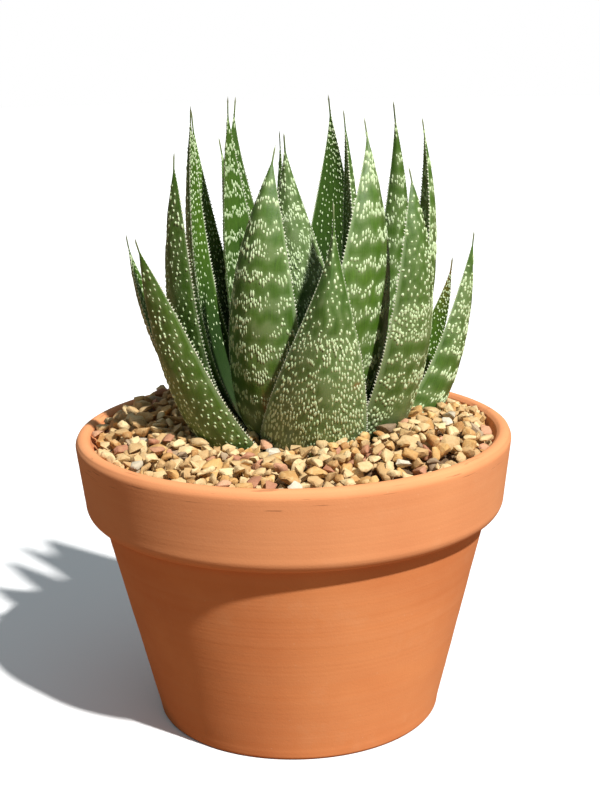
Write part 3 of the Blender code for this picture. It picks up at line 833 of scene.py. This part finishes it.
def dome_faces():
    """Faces over a dome's points: round its foot, up to its peak, and its base."""
    pairs = ring_pairs(DOME_SIDES)
    walls = [(i, j, DOME_SIDES + j, DOME_SIDES + i) for i, j in pairs]
    roof = [(DOME_SIDES + i, DOME_SIDES + j, 2 * DOME_SIDES) for i, j in pairs]
    return walls + roof + [tuple(reversed(range(DOME_SIDES)))]


def add_domes(parts, form, spots, on_face, kind):
    """Raised spots: low rounded domes, longer up the leaf than across it."""
    if not spots:
        return
    s, u, long_half, wide_half = (np.array(column)[:, None] for column in zip(*spots))
    half = form.half_width(s)
    angles = np.arange(DOME_SIDES) * math.tau / DOME_SIDES
    ds = long_half * np.cos(angles) / form.length
    du = wide_half * np.sin(angles) / half
    if on_face:
        du = -du
    centre_normals = form.normals(s, u, on_face)
    full = np.minimum(wide_half, DOME_FULL_HALF_WIDTH)[..., None]
    height = DOME_HEIGHT_SHARE * full + DOME_LEAST_HEIGHT
    base = form.points(s + ds, np.clip(u + du, -1, 1), on_face) - DOME_SINK * centre_normals
    ring_u = np.clip(u + DOME_SHOULDER * du, -1, 1)
    ring = form.points(s + DOME_SHOULDER * ds, ring_u, on_face)
    ring = ring + DOME_SHOULDER_HEIGHT * height * centre_normals
    peak = form.points(s, u, on_face) + height * centre_normals
    faces = dome_faces()
    for points in np.concatenate([base, ring, peak], axis=1):
        if points[-1, 2] > LOWEST_DETAIL:
            parts.add(points, faces, kind)


def add_tooth(parts, form, s, side, size, kind):
    """A small pyramid on the margin, with its root sunk in the leaf."""
    step = TOOTH_HALF_LENGTH * max(size, 0.6) / form.length
    rim = form.points(np.array([s - step, s, s + step]), np.full(3, side))
    if rim[1][2] < LOWEST_DETAIL:
        return
    inner = form.points(np.array([s]), np.array([side * 0.9]))[0]
    outward = rim[1] - inner
    outward /= np.linalg.norm(outward)
    rise = (rim[2] - rim[0]) / np.linalg.norm(rim[2] - rim[0])
    thick = np.cross(rise, outward) * TOOTH_HALF_THICKNESS
    root = TOOTH_SINK * outward
    points = [
        rim[0] - root - thick,
        rim[2] - root - thick,
        rim[2] - root + thick,
        rim[0] - root + thick,
        rim[1] + TOOTH_REACH * size * outward + TOOTH_LEAN * rise,
    ]
    faces = [(1, 0, 4), (2, 1, 4), (3, 2, 4), (0, 3, 4), (0, 1, 2, 3)]
    parts.add(points, faces, kind)


def add_teeth(parts, form, draw, kind):
    """Small triangular teeth along both margins, leaning towards the tip."""
    for side in (-1.0, 1.0):
        along = FIRST_TOOTH * form.length
        while along < LAST_TOOTH * form.length:
            s = along / form.length
            along += TOOTH_PITCH * draw.uniform(0.75, 1.3)
            share = min(1.0, float(form.half_width(np.array(s))) / FULL_TOOTH_HALF_WIDTH)
            add_tooth(parts, form, s, side, share * draw.uniform(0.7, 1.15), kind)


def grid_coordinates():
    """Shares along, places across and the side, for each point of a leaf's rings."""
    shares = LAST_RING * np.linspace(0.0, 1.0, RINGS)
    back = np.linspace(-1.0, 1.0, BACK_COLUMNS)
    face = np.linspace(1.0, -1.0, FACE_COLUMNS)[1:-1]
    u = np.concatenate([back, face])
    on_face = np.concatenate([np.zeros(len(back)), np.ones(len(face))])
    return np.meshgrid(shares, u, indexing="ij") + [np.tile(on_face, (RINGS, 1))]


def relief(form, age, s, u):
    """Slight swells and hollows of the flesh, none at the margins."""
    half = form.half_width(s)
    across, along = u * half / SWELL_ACROSS, s * form.length / SWELL_ALONG
    values = np.empty(s.shape)
    for place in np.ndindex(s.shape):
        values[place] = noise.noise(Vector((across[place], along[place], 7.3 * age)))
    return SWELL_HEIGHT * values * (1 - u**4) * np.clip(half / SWELL_EDGE_WIDTH, 0, 1)


def skin_faces(rings, sides):
    """Faces over a leaf's rings, then fans at its tip and its root."""
    tip, root = rings * sides, rings * sides + 1
    last = (rings - 1) * sides
    pairs = ring_pairs(sides)
    faces = []
    for ring in range(rings - 1):
        low, high = ring * sides, (ring + 1) * sides
        faces += [(low + i, low + j, high + j, high + i) for i, j in pairs]
    for i, j in pairs:
        faces.append((last + i, last + j, tip))
        faces.append((j, i, root))
    return faces


def add_skin(parts, form, age):
    """The leaf's surface. Returns s, u and the side, 1 on the inner face, of its points."""
    s, u, on_face = (np.array(values) for values in grid_coordinates())
    inner = on_face[..., None] > 0
    points = np.where(inner, form.points(s, u, True), form.points(s, u))
    normals = np.where(inner, form.normals(s, u, True), form.normals(s, u))
    swells = relief(form, age, s, u) * (1 - (1 - FACE_SWELL_SHARE) * on_face)
    points = points + normals * swells[..., None]
    ends = np.array([form.leaf.tip, points[0].mean(axis=0)])
    parts.add(np.concatenate([points.reshape(-1, 3), ends]), skin_faces(*s.shape))
    last = ((s, [1.0, 0.0]), (u, [0.0, 0.0]), (on_face, [0.0, 0.0]))
    return [np.append(values.ravel(), at_ends) for values, at_ends in last]


def stain(form, patches, s, u):
    """How strongly some patches colour the skin, at each point of the leaf."""
    colouring = np.zeros(len(s))
    half = form.half_width(s)
    for patch in patches:
        apart = ((s - patch.s) * form.length / patch.along) ** 2
        apart += ((u - patch.u) * half / patch.across) ** 2
        colouring += patch.strength * np.exp(-apart)
    return np.clip(colouring, 0.0, 1.0)


def halos(spots):
    """The pale patches round the spots."""
    return [
        Patch(s, u, size + HALO_MARGIN, HALO_HALF_WIDTH, HALO_STRENGTH) for s, u, size, _ in spots
    ]


def set_float(mesh, name, values):
    attribute = mesh.attributes.new(name, "FLOAT", "POINT")
    padded = np.zeros(len(mesh.vertices))
    padded[: len(values)] = values
    attribute.data.foreach_set("value", padded.astype(np.float32))


def set_leaf_data(mesh, form, marking, spots, s, u, on_face, age):
    """The coordinates and tones that the skin's material reads."""
    count = len(mesh.vertices)
    place = np.zeros((count, 3))
    place[: len(s)] = np.stack([u, s, on_face], axis=1)
    attribute = mesh.attributes.new("leaf_place", "FLOAT_VECTOR", "POINT")
    attribute.data.foreach_set("vector", place.ravel().astype(np.float32))
    set_float(mesh, "tone", np.full(count, marking.tone))
    set_float(mesh, "band", stain(form, halos(spots), s, u) * (1 - on_face))
    set_float(mesh, "blush", stain(form, marking.blushes, s, u))
    # How strongly shade is painted on the foot of the inner face
    set_float(mesh, "throat", on_face * marking.throat)
    corners = np.empty(len(mesh.loops), int)
    mesh.loops.foreach_get("vertex_index", corners)
    flat = np.zeros((count, 2))
    flat[: len(s), 0] = u * form.half_width(s) / 10 + 3 * age
    flat[: len(s), 1] = s * form.length / 10
    layer = mesh.uv_layers.new(name="leaf")
    layer.data.foreach_set("uv", flat[corners].ravel().astype(np.float32))


def make_leaf(leaf, marking, age, materials):
    node_name = f"leaf_{age + 1:02d}"
    draw = random.Random(LEAF_SEED + age)
    form = LeafForm(leaf, age)
    parts = MeshParts()
    coordinates = add_skin(parts, form, age)
    spots = spots_of(marking, form, draw)
    add_domes(parts, form, spots, False, 1)
    add_domes(parts, form, face_places(marking, form, draw), True, 1)
    add_teeth(parts, form, draw, 2)
    mesh = parts.mesh("skin_" + node_name)
    set_leaf_data(mesh, form, marking, spots, *coordinates, age)
    obj = smooth_object(mesh, materials, LEAF_SHARP_ANGLE)
    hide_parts(node_name)
    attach(obj, "root")


def make_leaves():
    materials = [
        leaf_material(),
        pale_material("leaf_spot", rgb(184, 206, 150), rgb(214, 228, 184), 0.5),
        pale_material("leaf_tooth", rgb(206, 212, 178), rgb(236, 236, 214), 0.4),
    ]
    for age, (leaf, marking) in enumerate(zip(LEAVES, MARKINGS)):
        make_leaf(leaf, marking, age, materials)


# The gravel


def gravel_height(x, y):
    """Height of the stones' tops, which rises from the pot's wall to the plant."""
    share = smooth_step((MOUTH_RADIUS - np.hypot(x, y)) / HEAP_SLOPE_WIDTH)
    crown = HEAP_HEIGHT + HEAP_SWAY * np.cos(2 * (np.arctan2(y, x) - HEAP_BEARING))
    return GRAVEL_EDGE_HEIGHT + share * crown


def stone_hull(draw):
    """The hull of random points in a flattened ball, its nearly level faces joined."""
    bm = bmesh.new()
    axes = (1.0, draw.uniform(*STONE_WIDTHS), draw.uniform(*STONE_HEIGHTS))
    for _ in range(draw.randint(*STONE_CORNERS)):
        direction = Vector([draw.gauss(0, 1) for _ in range(3)]).normalized()
        reach = draw.uniform(*STONE_REACHES)
        bm.verts.new([reach * size * part for size, part in zip(axes, direction)])
    hull = bmesh.ops.convex_hull(bm, input=bm.verts)
    inside = set(hull["geom_interior"] + hull["geom_unused"])
    loose = [item for item in inside if isinstance(item, bmesh.types.BMVert)]
    bmesh.ops.delete(bm, geom=loose, context="VERTS")
    level = math.radians(STONE_FACET_ANGLE)
    bmesh.ops.dissolve_limit(bm, angle_limit=level, verts=bm.verts, edges=bm.edges)
    bmesh.ops.recalc_face_normals(bm, faces=bm.faces)
    return bm


def wear(bm, draw):
    """Rounds a stone's edges and roughens its faces."""
    bmesh.ops.bevel(
        bm, geom=bm.edges[:], offset=STONE_BEVEL, segments=1, affect="EDGES", clamp_overlap=True
    )
    bmesh.ops.triangulate(bm, faces=bm.faces)
    bmesh.ops.subdivide_edges(
        bm, edges=bm.edges, cuts=1, use_grid_fill=True, smooth=STONE_SMOOTHING
    )
    bmesh.ops.triangulate(bm, faces=bm.faces)
    seed = Vector([draw.uniform(0, 50) for _ in range(3)])
    for vert in bm.verts:
        rough = noise.noise(vert.co * 2.2 + seed) + 0.5 * noise.noise(vert.co * 5.5 + seed)
        vert.co *= 1 + STONE_ROUGHNESS * (rough - 0.6)


def in_fixed_order(points, faces):
    """The same mesh with sorted points and faces, because their order varies between runs."""
    order = np.lexsort(points.T)
    rank = np.argsort(order)
    sorted_faces = []
    for face in faces:
        corners = [int(rank[i]) for i in face]
        first = corners.index(min(corners))
        sorted_faces.append(corners[first:] + corners[:first])
    return points[order], sorted(sorted_faces)


def stone_shape(draw):
    """A stone about 2 across: its rounded mesh, and the planes of its flat sides."""
    bm = stone_hull(draw)
    planes = np.array([(*face.normal, face.normal.dot(face.verts[0].co)) for face in bm.faces])
    wear(bm, draw)
    bm.verts.ensure_lookup_table()
    points = np.array([vert.co for vert in bm.verts])
    faces = [[vert.index for vert in face.verts] for face in bm.faces]
    bm.free()
    return *in_fixed_order(points, faces), planes


def stone_turn(draw):
    """A random turn that mostly lays the stone on its flat side."""
    tilts = (draw.gauss(0, STONE_TILT), draw.gauss(0, STONE_TILT))
    return np.array(Euler((*tilts, draw.uniform(0, math.tau))).to_matrix())


class Footprint:
    """The heights of a turned stone's underside and top over the cells that it covers."""

    def __init__(self, planes, turn, size):
        reach = math.ceil(size / STONE_CELL)
        steps = np.arange(-reach, reach + 1) * STONE_CELL
        x, y = np.meshgrid(steps, steps, indexing="ij")
        normals = planes[:, :3] @ turn.T
        offsets = planes[:, 3] * size
        low = np.full(x.shape, -np.inf)
        high = np.full(x.shape, np.inf)
        for (nx, ny, nz), offset in zip(normals, offsets):
            rest = offset - nx * x - ny * y
            if nz > LEVEL_PLANE:
                high = np.minimum(high, rest / nz)
            elif nz < -LEVEL_PLANE:
                low = np.maximum(low, rest / nz)
            else:
                high = np.where(rest < 0, -np.inf, high)
        self.reach = reach
        self.covered = low < high
        self.low = np.where(self.covered, low, np.inf)
        self.high = np.where(self.covered, high, -np.inf)
        self.top = float(self.high[self.covered].max()) if self.covered.any() else 0.0

    def window(self, i, j):
        """The ground's cells under the stone when its centre is over one cell."""
        reach = self.reach
        return slice(i - reach, i + reach + 1), slice(j - reach, j + reach + 1)


def leaf_tree():
    """One search tree over all the CAD leaves."""
    points, faces = [], []
    for name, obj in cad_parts.items():
        if not name.startswith("leaf"):
            continue
        first = len(points)
        points += [vert.co.copy() for vert in obj.data.vertices]
        faces += [[first + i for i in face.vertices] for face in obj.data.polygons]
    return BVHTree.FromPolygons(points, faces)


class Ground:
    """The room for stones: for each cell the height filled so far, and a leaf above it."""

    def __init__(self):
        count = int(2 * MOUTH_RADIUS / STONE_CELL) + 3
        steps = (np.arange(count) - count // 2) * STONE_CELL
        self.count = count
        self.x, self.y = np.meshgrid(steps, steps, indexing="ij")
        self.target = gravel_height(self.x, self.y)
        self.filled = self.target - BED_DEPTH
        self.filled[np.hypot(self.x, self.y) > MOUTH_RADIUS - WALL_GAP] = np.inf
        self.ceiling = np.full(self.x.shape, np.inf)
        self.cells = np.argwhere(np.isfinite(self.filled))
        tree = leaf_tree()
        for i, j in self.cells:
            self.meet_leaves(tree, i, j)

    def meet_leaves(self, tree, i, j):
        """Fills a cell up to a leaf that lies in it, or notes the leaf that hangs over it."""
        above = self.target[i, j] + LOOK_HEIGHT
        start = Vector((self.x[i, j], self.y[i, j], above)) * MM
        depth = (above - self.filled[i, j]) * MM
        hit, normal, _, _ = tree.ray_cast(start, Vector((0, 0, -1)), depth)
        if hit and normal.z < 0:
            self.ceiling[i, j] = hit.z / MM
            return
        if hit:
            self.filled[i, j] = hit.z / MM
        roof = tree.ray_cast(start, Vector((0, 0, 1)), CEILING_REACH * MM)[0]
        if roof:
            self.ceiling[i, j] = roof.z / MM

    def rest_height(self, i, j, footprint):
        """The height at which a stone's centre comes to rest over a cell, or None."""
        reach = footprint.reach
        if min(i, j) < reach or max(i, j) + reach >= self.count:
            return None
        window = footprint.window(i, j)
        held = np.where(footprint.covered, self.filled[window] - footprint.low, -np.inf)
        height = np.max(held)
        if not np.isfinite(height):
            return None
        height -= STONE_SINK
        if np.any(height + footprint.high > self.ceiling[window] + CEILING_GIVE):
            return None
        if height + footprint.top > self.target[i, j] + STONE_PROUD:
            return None
        return height

    def deepest_place(self, footprint, draw):
        """Of some random cells, the one where the stone lies deepest: i, j and its height."""
        best, most_room = None, -np.inf
        for _ in range(STONE_PLACES):
            i, j = self.cells[draw.randrange(len(self.cells))]
            height = self.rest_height(i, j, footprint)
            if height is not None and self.target[i, j] - height > most_room:
                best, most_room = (i, j, height), self.target[i, j] - height
        return best

    def settle(self, i, j, height, footprint):
        window = footprint.window(i, j)
        self.filled[window] = np.maximum(self.filled[window], height + footprint.high)


def stone_size(draw):
    """Half the length of a stone."""
    least, most = STONE_HALF_LENGTHS
    size = draw.lognormvariate(math.log(STONE_HALF_LENGTH), STONE_SPREAD)
    return min(most, max(least, size))


def poured_stones():
    """Each stone that found a place: its points, its faces and its centre."""
    draw = random.Random(STONE_SEED)
    shapes = [stone_shape(draw) for _ in range(STONE_SHAPES)]
    ground = Ground()
    stones = []
    for _ in range(STONE_TRIES):
        points, faces, planes = shapes[draw.randrange(STONE_SHAPES)]
        turn, size = stone_turn(draw), stone_size(draw)
        footprint = Footprint(planes, turn, size)
        best = ground.deepest_place(footprint, draw)
        if best is None:
            continue
        i, j, height = best
        ground.settle(i, j, height, footprint)
        place = np.array([ground.x[i, j], ground.y[i, j], height])
        stones.append((points @ turn.T * size + place, faces, place))
    return stones


def stone_object(name, stones, materials, draw):
    """Part of the gravel as one object, each stone of one kind and one shade."""
    parts = MeshParts()
    shades = []
    for points, faces, _ in stones:
        kind = draw.choices(range(len(STONE_KINDS)), STONE_SHARES)[0]
        parts.add(points, faces, kind)
        shades += [draw.random()] * len(points)
    obj = smooth_object(parts.mesh(name), materials, STONE_SHARP_ANGLE)
    set_float(obj.data, "shade", shades)
    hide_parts("gravel")
    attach(obj, "root")


def make_bed(finish):
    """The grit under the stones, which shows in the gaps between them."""
    points = [(0.0, 0.0, float(gravel_height(0.01, 0.0)) - BED_DEPTH)]
    for ring in range(1, BED_RINGS + 1):
        radius = (MOUTH_RADIUS - BED_WALL_GAP) * ring / BED_RINGS
        for side in range(BED_SIDES):
            angle = math.tau * side / BED_SIDES
            x, y = radius * math.cos(angle), radius * math.sin(angle)
            bump = noise.noise(Vector((x / BED_BUMP_WIDTH, y / BED_BUMP_WIDTH, 0)))
            points.append((x, y, float(gravel_height(x, y)) - BED_DEPTH + BED_RISE + bump))
    pairs = ring_pairs(BED_SIDES)
    faces = [(0, 1 + i, 1 + j) for i, j in pairs]
    for ring in range(BED_RINGS - 1):
        low, high = 1 + ring * BED_SIDES, 1 + (ring + 1) * BED_SIDES
        faces += [(low + i, high + i, high + j, low + j) for i, j in pairs]
    parts = MeshParts()
    parts.add(points, faces)
    bed = new_object(parts.mesh("gravel_bed"), [finish])
    bed.data.shade_smooth()
    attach(bed, "root")


def make_gravel():
    materials = stone_materials()
    stones = poured_stones()
    draw = random.Random(STONE_SEED + 1)
    front = [stone for stone in stones if stone[2][1] < 0]
    back = [stone for stone in stones if stone[2][1] >= 0]
    stone_object("gravel_front", front, materials, draw)
    stone_object("gravel_back", back, materials, draw)
    make_bed(bed_material())


# The stage


def make_floor():
    bm = bmesh.new()
    bmesh.ops.create_circle(bm, cap_ends=True, segments=FLOOR_SIDES, radius=FLOOR_RADIUS)
    mesh = bpy.data.meshes.new("floor")
    bm.to_mesh(mesh)
    bm.free()
    floor = new_object(mesh, [floor_material()])


def make_light():
    """A soft-edged sun, from the right, in front and above."""
    data = bpy.data.lights.new("key", "SUN")
    data.angle = math.radians(KEY_WIDTH)
    data.energy = KEY_STRENGTH
    light = new_object(data)
    rise = math.radians(KEY_ELEVATION)
    direction = Vector(heading(KEY_AZIMUTH)) * math.cos(rise) + Vector((0, 0, math.sin(rise)))
    light.location = direction
    light.rotation_euler = direction.to_track_quat("Z", "Y").to_euler()


def make_sky():
    """A pale sky, brightest overhead, that the camera sees as plain white."""
    world = bpy.data.worlds.new("sky")
    world.use_nodes = True
    tree = world.node_tree
    direction = node(tree, "TexCoord").outputs["Generated"]
    upward = node(tree, "SeparateXYZ", {"Vector": direction}).outputs["Z"]
    glow = between(tree, upward, 0.0, 1.0, HORIZON_STRENGTH, ZENITH_STRENGTH)
    seen = node(tree, "LightPath").outputs["Is Camera Ray"]
    background = tree.nodes["Background"]
    tree.links.new(between(tree, seen, 0.0, 1.0, glow, 1.0), background.inputs["Strength"])
    colour = blend_of(tree, seen, SKY_COLOUR, WHITE)
    tree.links.new(colour, background.inputs["Color"])
    bpy.context.scene.world = world
    bpy.context.scene.view_settings.view_transform = "Standard"


def make_camera():
    data = bpy.data.cameras.new("camera")
    data.sensor_fit = "VERTICAL"
    data.sensor_height = SENSOR_HEIGHT
    data.lens = FOCAL_PIXELS / PHOTO_HEIGHT * SENSOR_HEIGHT
    camera = new_object(data)
    forward = Vector((0, math.cos(CAMERA_PITCH), -math.sin(CAMERA_PITCH)))
    up = Vector((0, math.sin(CAMERA_PITCH), math.cos(CAMERA_PITCH)))
    right = Vector((1, 0, 0))
    cos, sin = math.cos(CAMERA_ROLL), math.sin(CAMERA_ROLL)
    turn = Matrix((cos * right + sin * up, cos * up - sin * right, -forward)).transposed()
    camera.matrix_world = Matrix.Translation(Vector(CAMERA_PLACE) * MM) @ turn.to_4x4()
    bpy.context.scene.camera = camera


def repaint(name, finish):
    """Gives a CAD node that stays visible its procedural material."""
    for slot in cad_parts[name].material_slots:
        slot.material = finish


def main():
    make_camera()
    make_light()
    make_sky()
    make_floor()
    make_pot(clay_material())
    repaint("soil", earth_material())
    repaint("stem", bark_material())
    make_leaves()
    make_gravel()


main()
